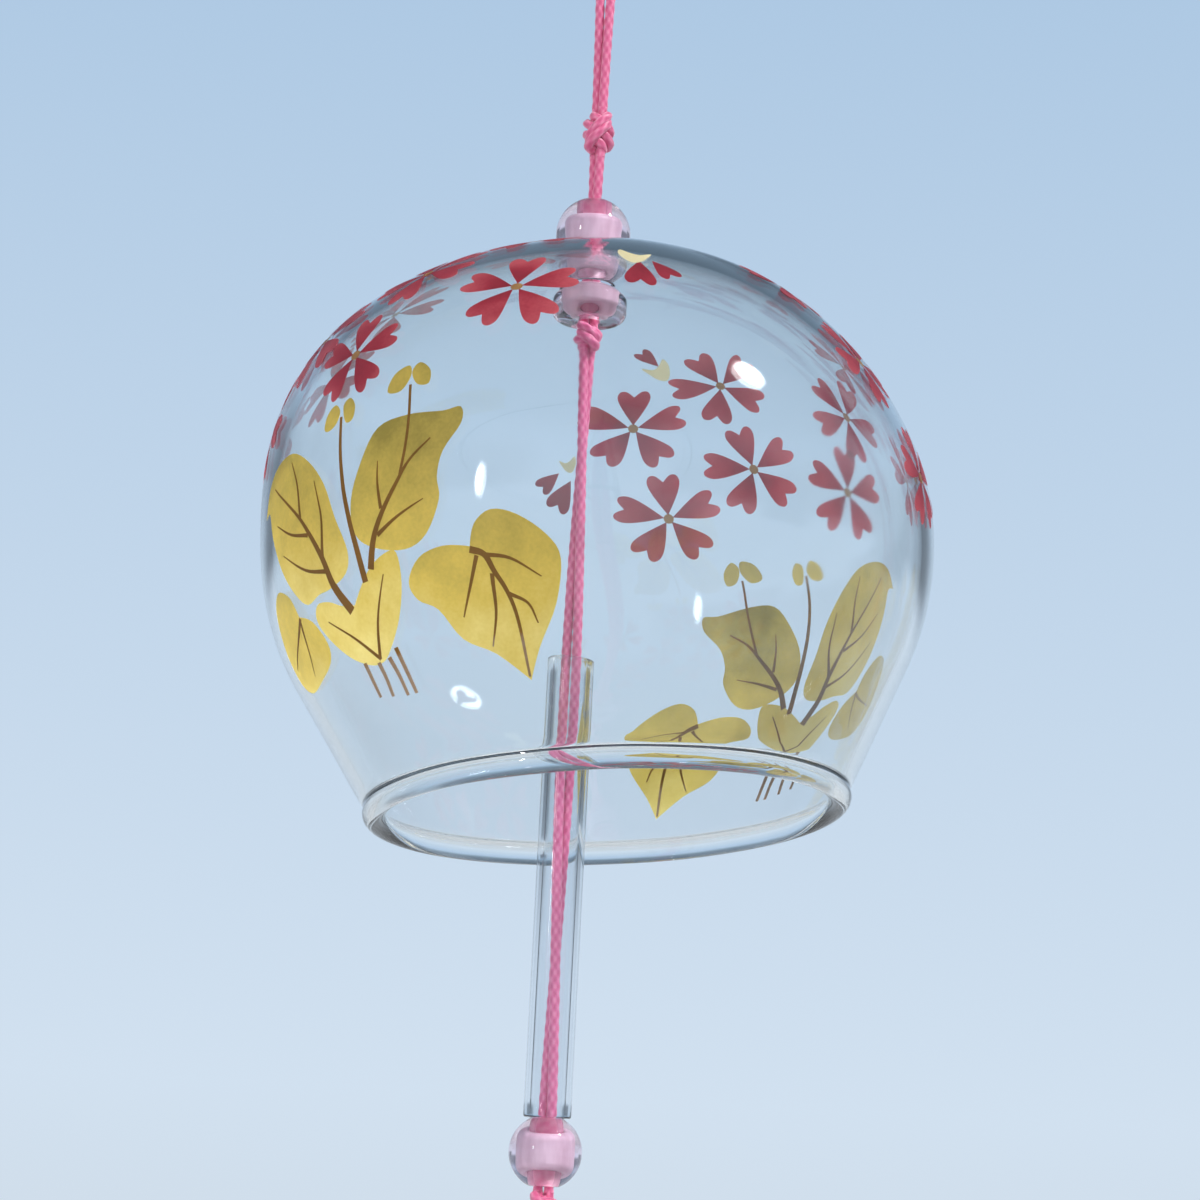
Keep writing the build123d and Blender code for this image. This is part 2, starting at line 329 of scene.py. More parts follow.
def new_group(name, inputs, outputs):
    """A node group with named number sockets: the group, its recipe, what goes in and what comes out."""
    group = bpy.data.node_groups.new(name, "ShaderNodeTree")
    for socket in inputs:
        group.interface.new_socket(name=socket, in_out="INPUT", socket_type="NodeSocketFloat")
    for socket in outputs:
        group.interface.new_socket(name=socket, in_out="OUTPUT", socket_type="NodeSocketFloat")
    given, result = group.nodes.new("NodeGroupInput").outputs, group.nodes.new("NodeGroupOutput").inputs
    return group, Recipe(group), given, result


def put_group(recipe, group, **values):
    """One use of a group, with its own values."""
    node = recipe.node("Group")
    node.node_tree = group
    return recipe.fill(node, **values).outputs


def show_mixed(recipe, share, first, second):
    """Show one shader with a share of a second."""
    mix = recipe.node("MixShader", Fac=share)
    recipe.link(first.outputs["BSDF"], mix.inputs[1])
    recipe.link(second.outputs["BSDF"], mix.inputs[2])
    recipe.link(mix.outputs["Shader"], recipe.nodes["Material Output"].inputs["Surface"])


handling_marks, recipe, given, result = new_group("handling_marks", ["Scale", "Haze"], ["Roughness"])
cloud = recipe.speckle(recipe.spot(), given["Scale"], 4.0)
marks = recipe.node("MapRange", Value=cloud, From_Min=0.55, From_Max=0.8, To_Max=given["Haze"])
recipe.link(marks.outputs["Result"], result["Roughness"])


def clear_material(name, colour, ior, haze, scale):
    """Clear glass or acrylic with faint handling marks, which lets the lamps light what is behind it."""
    material, recipe, shader = new_material(name)
    marks = put_group(recipe, handling_marks, Scale=scale, Haze=haze)
    recipe.fill(shader, Base_Color=(*colour, 1), Roughness=marks["Roughness"])
    recipe.fill(shader, Transmission_Weight=1.0, IOR=ior)
    clear = recipe.node("BsdfTransparent", Color=(*[c**0.5 for c in colour], 1))
    show_mixed(recipe, recipe.node("LightPath").outputs["Is Shadow Ray"], shader, clear)
    return material


clear_acrylic = clear_material("clear_acrylic", (0.96, 0.80, 0.90), ior=1.49, haze=0.06, scale=400.0)

MILKY_WHITES = [(0.3, (0.68, 0.51, 0.60)), (0.7, (0.87, 0.73, 0.81))]
white_core, recipe, shader = new_material("white_bead_core")
streaks = recipe.speckle(recipe.stretched(recipe.spot(), (1.0, 1.0, 0.25)), 900.0, 3.0)
recipe.bump(shader, streaks, 0.2, 0.03 * MM)
recipe.fill(shader, Base_Color=recipe.ramp(streaks, MILKY_WHITES), Roughness=0.3)

# The bore's pink is a painted reflection: the cord as seen through the acrylic, laid on the bore wall as its
# colour.
PAINTED_CORD_PINKS = [(0.3, (0.80, 0.24, 0.42)), (0.7, (0.90, 0.46, 0.60))]
bore_painted_cord_pink, recipe, shader = new_material("bore_painted_cord_reflection")
cord_pink_speckle = recipe.speckle(recipe.spot(), 1500.0)
recipe.fill(shader, Base_Color=recipe.ramp(cord_pink_speckle, PAINTED_CORD_PINKS), Roughness=0.55)
recipe.fill(shader, Transmission_Weight=0.45, IOR=1.49)


def paint_cord_pink_in_bore(shell):
    """The matt wall of a bead's bore, painted in the cord's pink: a painted reflection of the cord seen
    through the clear acrylic.
    """
    shell.data.materials.append(bore_painted_cord_pink)
    reach = BORE_R + 0.14 * MM
    for face in shell.data.polygons:
        if all(hypot(*shell.data.vertices[v].co.xy) < reach for v in face.vertices):
            face.material_index = 1


def bore_rim(z, radius, way):
    """The eased edge where a ball of that radius meets its bore, above or below its centre."""
    rise = sqrt((radius - RIM_EASE) ** 2 - (BORE_R + RIM_EASE) ** 2)
    turn = degrees(atan2(rise, BORE_R + RIM_EASE))
    points = arc(BORE_R + RIM_EASE, z + rise, RIM_EASE, 180, turn, 8)
    return [(x, y if way > 0 else 2 * z - y) for x, y in points], turn


def barrel_core(name, z, half, body, core_node):
    """White barrel with full round shoulders, just clear of the bore."""
    shoulder, inside = CORE_R - CORE_SOFT, BORE_R + CORE_GAP
    outline = arc(shoulder, z + half - CORE_SOFT, CORE_SOFT, 90, 0, 10)
    outline += arc(shoulder, z - half + CORE_SOFT, CORE_SOFT, 0, -90, 10)
    outline += [(inside, z - half), (inside, z), (inside, z + half)]
    core = turned(f"{name}_core_white", outline, 64)
    core.data.materials.append(white_core)
    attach(core, body)
    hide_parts(core_node)


def round_bead(name, z, radius, body, shell_node, core_node):
    """Clear ball with a bore, and its white barrel."""
    high_rim, turn = bore_rim(z, radius, 1)
    low_rim, _ = bore_rim(z, radius, -1)
    outline = high_rim + arc(0, z, radius, turn, -turn, 48)[1:-1] + low_rim[::-1]
    low, high = outline[-1][1], outline[0][1]
    outline += [(BORE_R, low + (high - low) * k / 8) for k in range(1, 8)]
    shell = turned(f"{name}_shell_clear", outline)
    shell.data.materials.append(clear_acrylic)
    paint_cord_pink_in_bore(shell)
    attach(shell, body)
    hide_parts(shell_node)
    barrel_core(name, z, CORE_HALF, body, core_node)


round_bead("top_bead", -48.9 * MM, 4.3 * MM, "line", "top_bead_shell", "top_bead_core")

# Neck
# The two strands that go on through the top bead, the hole in the glass and the inner bead.
# Nothing is tied here, so the glass and its bead turn freely about them.
neck, _ = twin_strands("neck_strands", "line", heights=[-44.4, -51.0, -59.5], start=-1.2, twist=1.6)
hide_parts("neck_cord")

# Glass bell
# Free-blown soda glass, thin all over, a little fuller on one shoulder as the blower left it.
# The mouth is fire-polished to a rolled lip; the hole's edge at the top is melted round.
LEAN, HEADING = radians(6.5), radians(-42.0)
BELL_R, CROWN_H, FULLNESS = 37.5 * MM, 33.4 * MM, 0.604
SIDE_R, SKIRT, DROP, WALL = 32.3 * MM, radians(27.8), 29.6 * MM, 1.3 * MM
LIP_R, LIP_FLARE, HOLE_R, HOLE_EDGE = 1.3 * MM, 0.8 * MM, 3.0 * MM, 0.4 * MM
SWELL, SWELL_PEAK, WANDER = 1.4 * MM, 0.148, 0.09 * MM
CROWN_STEPS, SIDE_STEPS, LIP_STEPS, BEND_STEPS = 56, 16, 40, 6
bell_up = Vector((-sin(LEAN) * cos(HEADING), -sin(LEAN) * sin(HEADING), cos(LEAN)))
bell_x = Vector((cos(LEAN), 0, sin(LEAN) * cos(HEADING))).normalized()
bell_y = bell_up.cross(bell_x)
bell_middle = Vector((2.296, -2.067, -86.345)) * MM


def blown(r, z, a):
    """A point of the glass where it hangs: the crown swells to one side and the wall wanders a little."""
    p = bell_middle + bell_x * (r * cos(a)) + bell_y * (r * sin(a)) + bell_up * z
    x = min(1.0, max(0.0, z / (CROWN_H - 1.0 * MM)))
    p = p - Vector((SWELL * x * x * (1 - x) / SWELL_PEAK, 0, 0))
    calm = min(1.0, max(0.0, (r - 5.0 * MM) / (12.0 * MM)))
    outward = (bell_x * cos(a) + bell_y * sin(a)) * (r / BELL_R) + bell_up * (z / BELL_R)
    wander = noise.noise(Vector((2.2 * cos(a), 2.2 * sin(a), z / (15 * MM))))
    return p + outward * (WANDER * wander * calm)


def crown(radius, height):
    """The crown's section from the hole's edge out to the widest circle, in even steps."""
    def out(t):
        return radius * (3 * (1 - t) ** 2 * t * FULLNESS + 3 * (1 - t) * t * t + t**3)

    def rise(t):
        return height * ((1 - t) ** 3 + 3 * (1 - t) ** 2 * t + 3 * (1 - t) * t * t * FULLNESS)

    start = next(k / 1000 for k in range(1000) if out(k / 1000) > HOLE_R + HOLE_EDGE)
    steps = [start + (1 - start) * k / CROWN_STEPS for k in range(CROWN_STEPS + 1)]
    return [(out(t), rise(t)) for t in steps]


def between(a, b, count):
    """Points on the way from a to b, without them."""
    return [(a[0] + (b[0] - a[0]) * k / count, a[1] + (b[1] - a[1]) * k / count) for k in range(1, count)]


side_x = BELL_R - SIDE_R
lip_run = (DROP - (SIDE_R - WALL / 2) * sin(SKIRT)) / cos(SKIRT)
lip_x = side_x + (SIDE_R - WALL / 2) * cos(SKIRT) - lip_run * sin(SKIRT)


def by_lip(out, up):
    """A section point by its distance out of the wall and up it, from the lip's centre."""
    return (lip_x + out * cos(SKIRT) + up * sin(SKIRT), -DROP - out * sin(SKIRT) + up * cos(SKIRT))


flare_x = WALL / 2 + LIP_FLARE
flare_up = sqrt((LIP_R + LIP_FLARE) ** 2 - flare_x**2)
flare_turn = degrees(atan2(flare_up, flare_x))
outer_crown = crown(BELL_R, CROWN_H)
inner_crown = crown(BELL_R - WALL, CROWN_H - WALL)
skirt_top_out = (side_x + SIDE_R * cos(SKIRT), -SIDE_R * sin(SKIRT))
skirt_top_in = (side_x + (SIDE_R - WALL) * cos(SKIRT), -(SIDE_R - WALL) * sin(SKIRT))
flare_out, flare_in = by_lip(WALL / 2, flare_up), by_lip(-WALL / 2, flare_up)
flare_bend_out = arc(flare_x, flare_up, LIP_FLARE, 180, 180 + flare_turn, BEND_STEPS)
lip_bend = arc(0, 0, LIP_R, flare_turn, -flare_turn - 180, LIP_STEPS)[1:-1]
flare_bend_in = arc(-flare_x, flare_up, LIP_FLARE, -flare_turn, 0, BEND_STEPS)

bell_outline = arc(HOLE_R + HOLE_EDGE, outer_crown[0][1] - HOLE_EDGE, HOLE_EDGE, 180, 95, BEND_STEPS)
bell_outline += outer_crown + arc(side_x, 0, SIDE_R, 0, -degrees(SKIRT), SIDE_STEPS)[1:]
bell_outline += between(skirt_top_out, flare_out, SIDE_STEPS)
bell_outline += [by_lip(out, up) for out, up in flare_bend_out + lip_bend + flare_bend_in]
bell_outline += between(flare_in, skirt_top_in, SIDE_STEPS)
bell_outline += arc(side_x, 0, SIDE_R - WALL, -degrees(SKIRT), 0, SIDE_STEPS) + inner_crown[::-1][1:]
bell_outline += arc(HOLE_R + HOLE_EDGE, inner_crown[0][1] + HOLE_EDGE, HOLE_EDGE, 265, 180, BEND_STEPS)
blown_glass = clear_material("blown_glass", (0.95, 0.975, 0.98), ior=1.5, haze=0.10, scale=60.0)
glass_bell = turned("glass_bell_blown", bell_outline, 192, blown)
glass_bell.data.materials.append(blown_glass)
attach(glass_bell, "bell")
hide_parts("glass_bell")

# Printed flowers
# Fired enamel on the outside of the glass: loose five-petalled flowers on both shoulders,
# with a few buds of one or two petals. The set on the far side was laid on a little wider.
INK_LIFT, HEART_LIFT = 0.05 * MM, 0.06 * MM
wall_line = [(0.0, CROWN_H)] + outer_crown + arc(side_x, 0, SIDE_R, 0, -degrees(SKIRT), 60)[1:]
wall_line += between(skirt_top_out, flare_out, 40) + [flare_out]
wall_run = [0.0]
for a, b in zip(wall_line, wall_line[1:]):
    wall_run.append(wall_run[-1] + hypot(b[0] - a[0], b[1] - a[1]))
widest_run = wall_run[len(outer_crown)]


def wall_at(up):
    """The ends of the short run of wall so many millimetres above the widest circle, and how far along."""
    s = min(max(widest_run - up * MM, 0.0), wall_run[-1] - 1e-9)
    k = next(i for i in range(len(wall_run) - 1) if wall_run[i + 1] > s)
    return wall_line[k], wall_line[k + 1], (s - wall_run[k]) / (wall_run[k + 1] - wall_run[k])


def on_glass(turn, up, lift):
    """A point of the outside by degrees round the bell and millimetres up the wall from the widest circle."""
    (r0, z0), (r1, z1), part = wall_at(up)
    length = hypot(r1 - r0, z1 - z0)
    r = r0 + (r1 - r0) * part - (z1 - z0) / length * lift
    z = z0 + (z1 - z0) * part + (r1 - r0) / length * lift
    return blown(r, z, radians(turn))


def wall_radius(up):
    """The bell's radius at a height on its wall, in millimetres."""
    (r0, _), (r1, _), part = wall_at(up)
    return (r0 + (r1 - r0) * part) / MM


def rounded(points, corners=(), count=6):
    """A closed smooth outline through points, sharp at the corners named by number."""
    out, n = [], len(points)
    for i in range(n):
        p0, p1, p2, p3 = (Vector(points[(i + d) % n]) for d in (-1, 0, 1, 2))
        m1 = Vector((0, 0)) if i in corners else (p2 - p0) / 2
        m2 = Vector((0, 0)) if (i + 1) % n in corners else (p3 - p1) / 2
        for k in range(count):
            t = k / count
            out.append(
                p1 * (2 * t**3 - 3 * t**2 + 1) + m1 * (t**3 - 2 * t**2 + t)
                + p2 * (3 * t**2 - 2 * t**3) + m2 * (t**3 - t**2)
            )
    return out


class Print:
    """Flat inked shapes laid on the glass, gathered into one thin piece."""

    def __init__(self):
        self.verts, self.faces, self.tones = [], [], []

    def lay(self, outline, turn, up, lift, tone, spin=0.0, grid=1.1):
        """Lay one outline, in millimetres about its own place, with a tone for each point."""
        c, s = cos(radians(spin)), sin(radians(spin))
        lows = [min(p[i] for p in outline) for i in (0, 1)]
        highs = [max(p[i] for p in outline) for i in (0, 1)]
        edge = [Vector((p[0], p[1])) for p in outline]
        nx, ny = int((highs[0] - lows[0]) / grid) + 1, int((highs[1] - lows[1]) / grid) + 1
        inner = [
            Vector((lows[0] + (i + 0.5) * grid, lows[1] + (j + 0.5) * grid))
            for i in range(nx) for j in range(ny)
        ]
        flat, _, faces, *_ = delaunay_2d_cdt(edge + inner, [], [list(range(len(edge)))], 1, 1e-5)
        base = len(self.verts)
        for p in flat:
            x, y = p.x * c - p.y * s, p.x * s + p.y * c
            self.verts.append(on_glass(turn + degrees(x / wall_radius(up + y)), up + y, lift))
            self.tones.append(tone(p))
        self.faces += [tuple(base + i for i in f) for f in faces]

    def finish(self, name, material):
        """Make the piece and let it ride on the glass."""
        piece = surface(name, self.verts, self.faces)
        tones = piece.data.attributes.new("tone", "FLOAT", "POINT")
        tones.data.foreach_set("value", self.tones)
        piece.data.materials.append(material)
        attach(piece, "bell")
        return piece


fired_ink, recipe, given, result = new_group("fired_ink", ["Tone", "Gloss"], ["Shade", "Roughness", "Height"])
thin = recipe.speckle(recipe.spot(), 260.0, 3.0)
grain = recipe.speckle(recipe.spot(), 2600.0, 1.0)
thinned = recipe.math("ADD", given["Tone"], recipe.math("MULTIPLY_ADD", thin, 0.5, -0.25))
grained = recipe.math("ADD", thinned, recipe.math("MULTIPLY_ADD", grain, 0.16, -0.08))
matted = recipe.math("ADD", given["Gloss"], recipe.math("MULTIPLY_ADD", grain, 0.2, -0.1))
recipe.link(grained, result["Shade"])
recipe.link(matted, result["Roughness"])
recipe.link(thin, result["Height"])


def enamel(name, stops, gloss):
    """Fired ink: the tone of each stroke, thin places and a fine grain; some leaf tones hold painted light
    and painted shade. Light behind it glows through.
    """
    material, recipe, shader = new_material(name)
    tone = recipe.node("Attribute")
    tone.attribute_name = "tone"
    ink = put_group(recipe, fired_ink, Tone=tone.outputs["Fac"], Gloss=gloss)
    colour = recipe.ramp(ink["Shade"], stops)
    recipe.fill(shader, Base_Color=colour, Roughness=ink["Roughness"])
    recipe.bump(shader, ink["Height"], 0.15, 0.02 * MM)
    show_mixed(recipe, 0.4, shader, recipe.node("BsdfTranslucent", Color=colour))
    return material


PETAL = rounded(
    [(0.0, 0.45), (0.85, 2.1), (1.45, 3.5), (1.66, 4.55), (1.35, 5.3), (0.72, 5.3), (0.0, 4.5),
     (-0.72, 5.3), (-1.35, 5.3), (-1.66, 4.55), (-1.45, 3.5), (-0.85, 2.1)],
    corners=(0, 6),
)
HEART = [Vector((0.66 * cos(2 * pi * k / 14), 0.62 * sin(2 * pi * k / 14))) for k in range(14)]
FAR_FLOWERS = [
    (75.6, 26.5, 9), (45.5, 30.1, -3), (49.2, 18.1, 3), (72.0, 14.1, 4), (12.0, 18.6, -2), (27.1, 11.4, 33),
]
NEAR_FLOWERS = [
    (-101.8, 20.2, -6), (-128.0, 28.5, 34), (-152.0, 21.5, 10), (-169.5, 13.5, 30), (-182.0, 24.3, 0),
    (-163.0, 33.0, 24), (-108.0, 39.0, 20),
]
SIDE_FLOWERS = [
    (-134.0, 14.9, -2), (-20.0, 3.0, 10), (-3.0, 6.5, 20), (-29.0, 15.5, 35), (-10.5, 21.0, 50),
    (-33.0, 28.0, 5),
]
BUD_PETALS = [
    (61.5, 35.3, -23, 0.72), (-77.0, 25.4, 171, 1.02), (-74.5, 25.6, 204, 0.8),
    (94.2, 21.2, -131, 0.68), (91.6, 20.3, -149, 0.9),
]
FLOWER_SETS = [(FAR_FLOWERS, 1.28, 1.05), (NEAR_FLOWERS, 1.18, 1.18), (SIDE_FLOWERS, 1.05, 1.05)]
petals, flower_hearts = Print(), Print()
for flowers, wide, tall in FLOWER_SETS:
    for turn, up, spin in flowers:
        for k in range(5):
            c, s = cos(radians(spin + 72 * k)), sin(radians(spin + 72 * k))
            petal = [Vector((wide * (p.x * c - p.y * s), tall * (p.x * s + p.y * c))) for p in PETAL]
            petals.lay(petal, turn, up, INK_LIFT, lambda p: 0.28 + 0.07 * p.length, grid=0.9)
        flower_hearts.lay(HEART, turn, up, HEART_LIFT, lambda p: 0.5, grid=0.5)
for turn, up, spin, size in BUD_PETALS:
    petals.lay([p * size for p in PETAL], turn, up, INK_LIFT, lambda p: 0.4, spin, grid=0.9)
REDS = [(0.1, (0.17, 0.015, 0.03)), (0.5, (0.40, 0.035, 0.06)), (0.95, (0.70, 0.14, 0.17))]
AMBERS = [(0.2, (0.24, 0.11, 0.05)), (0.8, (0.48, 0.27, 0.10))]
petals.finish("printed_petals", enamel("red_enamel", REDS, gloss=0.4))
flower_hearts.finish("printed_flower_hearts", enamel("amber_enamel", AMBERS, gloss=0.4))

# Printed leaves
# Yellow enamel leaves and buds with brown ribs, stems and short roots, low on the wall, and cream cups
# by the flower buds. The leaves are printed twice, half a turn apart, the second a little lower.
LEAF_TURN, LEAF_PRINTS = -128.0, [(0.0, 0.0), (180.2, -3.7)]
RIB_LIFTS, CUP_LIFT = (0.03 * MM, 0.07 * MM), 0.09 * MM
ROOT_TOP = -18.2
# Each leaf lists its outline, its sharp corners and its tone. The second and third leaves are set darker,
# which is painted shade, and the fourth lighter, which is painted light. Every leaf also goes lighter towards
# its lower end.
LEAVES = [
    ([(10.3, -9.6), (11.2, -7.4), (13.2, -6.2), (15.8, -7.0), (18.4, -9.3), (19.2, -11.8), (17.4, -16.2),
      (14.2, -20.6), (12.2, -23.9), (9.6, -20.8), (6.6, -18.8), (5.0, -15.4), (3.0, -14.0), (2.5, -12.0),
      (4.4, -9.8), (7.4, -9.1)], (0, 8), 0.30),
    ([(-0.8, -7.8), (-3.2, -5.9), (-3.4, -2.4), (-1.7, 1.6), (0.7, 4.7), (4.5, 5.3), (8.7, 4.9),
      (10.7, 5.0), (10.7, 3.2), (8.6, 0.6), (7.8, -2.0), (7.8, -4.4), (5.8, -7.6), (3.0, -8.7)], (), 0.10),
    ([(-8.5, -10.3), (-5.6, -9.4), (-4.7, -7.2), (-6.0, -3.4), (-7.6, 0.6), (-10.4, 3.9), (-14.0, 6.0),
      (-18.0, 5.8), (-21.0, 4.0), (-22.6, 0.9), (-21.0, 1.2), (-20.0, -1.6), (-18.0, -6.0), (-15.6, -9.2),
      (-13.4, -10.8), (-10.8, -10.4)], (9,), 0.22),
    ([(-5.4, -12.8), (-7.4, -12.4), (-9.4, -11.5), (-11.6, -11.3), (-12.5, -12.8), (-11.2, -15.2),
      (-8.8, -17.7), (-6.0, -19.2), (-4.0, -19.3), (-2.4, -18.2), (0.0, -15.4), (1.6, -12.0), (1.8, -8.8),
      (0.2, -8.6), (-2.4, -9.9)], (0,), 0.50),
    ([(-19.6, -7.8), (-17.2, -9.2), (-16.2, -11.4), (-13.5, -12.6), (-11.9, -15.4), (-12.8, -17.3),
      (-16.0, -18.4), (-20.3, -18.8), (-23.4, -17.0), (-24.2, -13.6), (-23.2, -9.6),
      (-21.5, -7.9)], (2,), 0.30),
    ([(-7.5, 6.7), (-7.0, 8.3), (-5.7, 9.1), (-4.9, 8.1), (-5.4, 6.9), (-6.6, 6.3)], (), 0.25),
    ([(-4.4, 8.6), (-3.4, 9.3), (-2.6, 8.2), (-2.9, 6.7), (-4.0, 6.6)], (), 0.25),
    ([(1.9, 8.5), (2.7, 10.4), (4.5, 11.1), (4.8, 9.7), (3.6, 8.2)], (), 0.25),
    ([(4.9, 10.2), (5.8, 11.2), (7.1, 10.0), (7.0, 8.4), (5.6, 8.6)], (), 0.25),
]
RIBS = [
    ([(10.2, -9.9), (11.6, -10.6), (12.2, -12.4), (12.9, -14.6), (13.0, -17.6), (12.2, -23.5)], 0.75, 0.25),
    ([(11.5, -10.6), (14.2, -11.3), (16.8, -13.4)], 0.5, 0.14),
    ([(13.0, -14.8), (14.6, -16.0), (14.9, -18.1)], 0.45, 0.14),
    ([(11.9, -12.6), (11.1, -16.4), (9.5, -20.0)], 0.45, 0.14),
    ([(10.8, -10.6), (9.3, -13.5), (7.5, -16.6)], 0.45, 0.14),
    ([(-1.9, -9.8), (-0.9, -7.1), (0.5, -4.8), (2.8, -1.9), (4.7, 0.4), (7.2, 2.2)], 0.85, 0.18),
    ([(3.4, -1.0), (4.2, 2.0), (4.7, 5.2), (4.8, 8.7)], 0.35, 0.3),
    ([(0.7, -4.0), (0.5, -1.2), (0.6, 1.1)], 0.45, 0.12),
    ([(-0.2, -6.6), (2.7, -5.2), (6.0, -4.0)], 0.5, 0.12),
    ([(-6.0, -13.3), (-7.9, -10.1), (-8.9, -7.0), (-10.8, -3.8), (-13.4, -0.9), (-19.0, 3.4)], 1.1, 0.18),
    ([(-8.8, -6.8), (-8.3, -2.7), (-9.4, 1.5)], 0.5, 0.12),
    ([(-12.3, -1.8), (-12.9, 2.1), (-14.2, 5.0)], 0.45, 0.12),
    ([(-8.4, -8.5), (-12.3, -7.4), (-17.0, -4.6)], 0.5, 0.12),
    ([(-11.0, -4.0), (-14.5, -3.0), (-18.2, -1.0)], 0.45, 0.12),
    ([(-4.2, -18.9), (-7.0, -16.0), (-10.4, -13.4)], 0.45, 0.14),
    ([(-4.3, -18.9), (-2.9, -15.2), (-0.4, -10.6)], 0.45, 0.14),
    ([(-16.0, -11.6), (-18.3, -13.4), (-22.4, -15.6)], 0.5, 0.14),
    ([(-16.2, -12.0), (-16.6, -15.0), (-17.6, -17.6)], 0.4, 0.12),
    ([(-3.0, -10.9), (-3.3, -7.5), (-3.9, -3.8), (-4.5, -0.2), (-4.8, 3.3), (-4.7, 7.4)], 0.8, 0.35),
    ([(-6.8, -18.8), (-6.5, -20.8), (-6.2, -22.7)], 0.55, 0.4),
    ([(-4.7, -19.2), (-4.4, -21.0), (-4.3, -23.0)], 0.55, 0.4),
    ([(-3.0, -19.0), (-2.5, -21.0), (-2.2, -23.3)], 0.55, 0.4),
    ([(-1.7, -18.2), (-1.3, -21.0), (-1.0, -23.3)], 0.55, 0.4),
]
BUD_CUP = rounded(
    [(1.8, 0.9), (0.5, 0.4), (-0.5, 0.9), (-1.4, 1.9), (-1.8, 0.9), (-1.5, -0.7), (-0.7, -1.8), (0.4, -1.4),
     (1.2, -0.3)],
)
BUD_CUPS = [(63.2, 34.8, 1.0), (-77.4, 26.2, 1.0), (92.6, 22.1, 0.6)]


def brushed(points, wide, tip):
    """The outline of a brush stroke through points, from a wide start to a fine tip."""
    ends = [Vector(points[0]) * 2 - Vector(points[1])] + [Vector(p) for p in points]
    ends.append(ends[-1] * 2 - ends[-2])
    line = []
    for p0, p1, p2, p3 in zip(ends, ends[1:], ends[2:], ends[3:]):
        for k in range(5):
            t = k / 5
            bend = (p0 * 2 - p1 * 5 + p2 * 4 - p3) * t**2 + (p1 * 3 - p0 - p2 * 3 + p3) * t**3
            line.append((p1 * 2 + (p2 - p0) * t + bend) / 2)
    line.append(ends[-2])
    left, right = [], []
    for k, p in enumerate(line):
        way = (line[min(k + 1, len(line) - 1)] - line[max(k - 1, 0)]).normalized()
        half = (wide + (tip - wide) * k / (len(line) - 1)) / 2
        left.append(p + Vector((-way.y, way.x)) * half)
        right.append(p - Vector((-way.y, way.x)) * half)
    return left + right[::-1]


def rib_tone(p):
    """Full brown on the leaves, paler down the roots."""
    return min(1.0, 0.5 - 0.4 * min(0, p.y - ROOT_TOP))


leaves, ribs, cups = Print(), Print(), Print()
for print_turn, print_up in LEAF_PRINTS:
    for points, corners, leaf_tone_with_painted_light in LEAVES:
        head = max(y for x, y in points)
        leaf = rounded(points, corners, 4)
        leaves.lay(
            leaf, LEAF_TURN + print_turn, print_up, INK_LIFT,
            lambda p: leaf_tone_with_painted_light + 0.028 * (head - p.y), grid=1.2,
        )
    for points, wide, tip in RIBS:
        for lift in RIB_LIFTS:
            ribs.lay(brushed(points, wide, tip), LEAF_TURN + print_turn, print_up, lift, rib_tone, grid=1.5)
for turn, up, size in BUD_CUPS:
    cups.lay([p * size for p in BUD_CUP], turn, up, CUP_LIFT, lambda p: 0.5)
YELLOWS = [(0.05, (0.36, 0.28, 0.055)), (0.5, (0.76, 0.56, 0.11)), (0.9, (0.95, 0.79, 0.28))]
BROWNS = [(0.2, (0.22, 0.10, 0.013)), (0.7, (0.36, 0.18, 0.035)), (1.0, (0.46, 0.33, 0.23))]
CREAMS = [(0.2, (0.80, 0.69, 0.36)), (0.8, (0.94, 0.88, 0.62))]
yellow_enamel = enamel("yellow_enamel", YELLOWS, gloss=0.42)
brown_enamel = enamel("brown_enamel", BROWNS, gloss=0.45)
cream_enamel = enamel("cream_enamel", CREAMS, gloss=0.42)
cups.finish("printed_cream_touches", cream_enamel)
leaves.finish("printed_leaves", yellow_enamel)
ribs.finish("printed_ribs_and_stems", brown_enamel)

# Inner bead
# The second clear acrylic bead, a low rondelle with a domed crown, moulded round a white core.
# The edge of the hole in the glass hangs on that crown, and the bead sits on the stop knot.
SEAT_R, SEAT_Z = 5.4524 * MM, -59.229 * MM
RONDELLE_R, RONDELLE_SOFT, RONDELLE_TALL, FLAT_R = 4.3 * MM, 1.2 * MM, 5.1 * MM, 2.2 * MM
LOW_CORE_DOWN, LOW_CORE_HALF = 2.1 * MM, 1.15 * MM
bead_top = SEAT_Z + SEAT_R
bead_low = bead_top - RONDELLE_TALL
soft_x = RONDELLE_R - RONDELLE_SOFT
soft_z = SEAT_Z + sqrt((SEAT_R - RONDELLE_SOFT) ** 2 - soft_x**2)
cap_start = degrees(atan2(sqrt(SEAT_R**2 - BORE_R**2), BORE_R))
cap_end = degrees(atan2(soft_z - SEAT_Z, soft_x))
bead_outline = arc(0, SEAT_Z, SEAT_R, cap_start, cap_end, 16)
bead_outline += arc(soft_x, soft_z, RONDELLE_SOFT, cap_end, 0, 10)[1:]
bead_outline += arc(soft_x, bead_low + RONDELLE_SOFT, RONDELLE_SOFT, 0, -90, 12)
bead_outline += [(FLAT_R, bead_low), (BORE_R, bead_low)]
bead_outline += [(BORE_R, bead_low + (bead_outline[0][1] - bead_low) * k / 6) for k in range(1, 6)]
inner_bead = turned("inner_bead_shell_clear", bead_outline)
inner_bead.data.materials.append(clear_acrylic)
paint_cord_pink_in_bore(inner_bead)
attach(inner_bead, "inner_bead")
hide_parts("inner_bead_shell")
barrel_core("inner_bead", bead_top - LOW_CORE_DOWN, LOW_CORE_HALF, "inner_bead", "inner_bead_core")

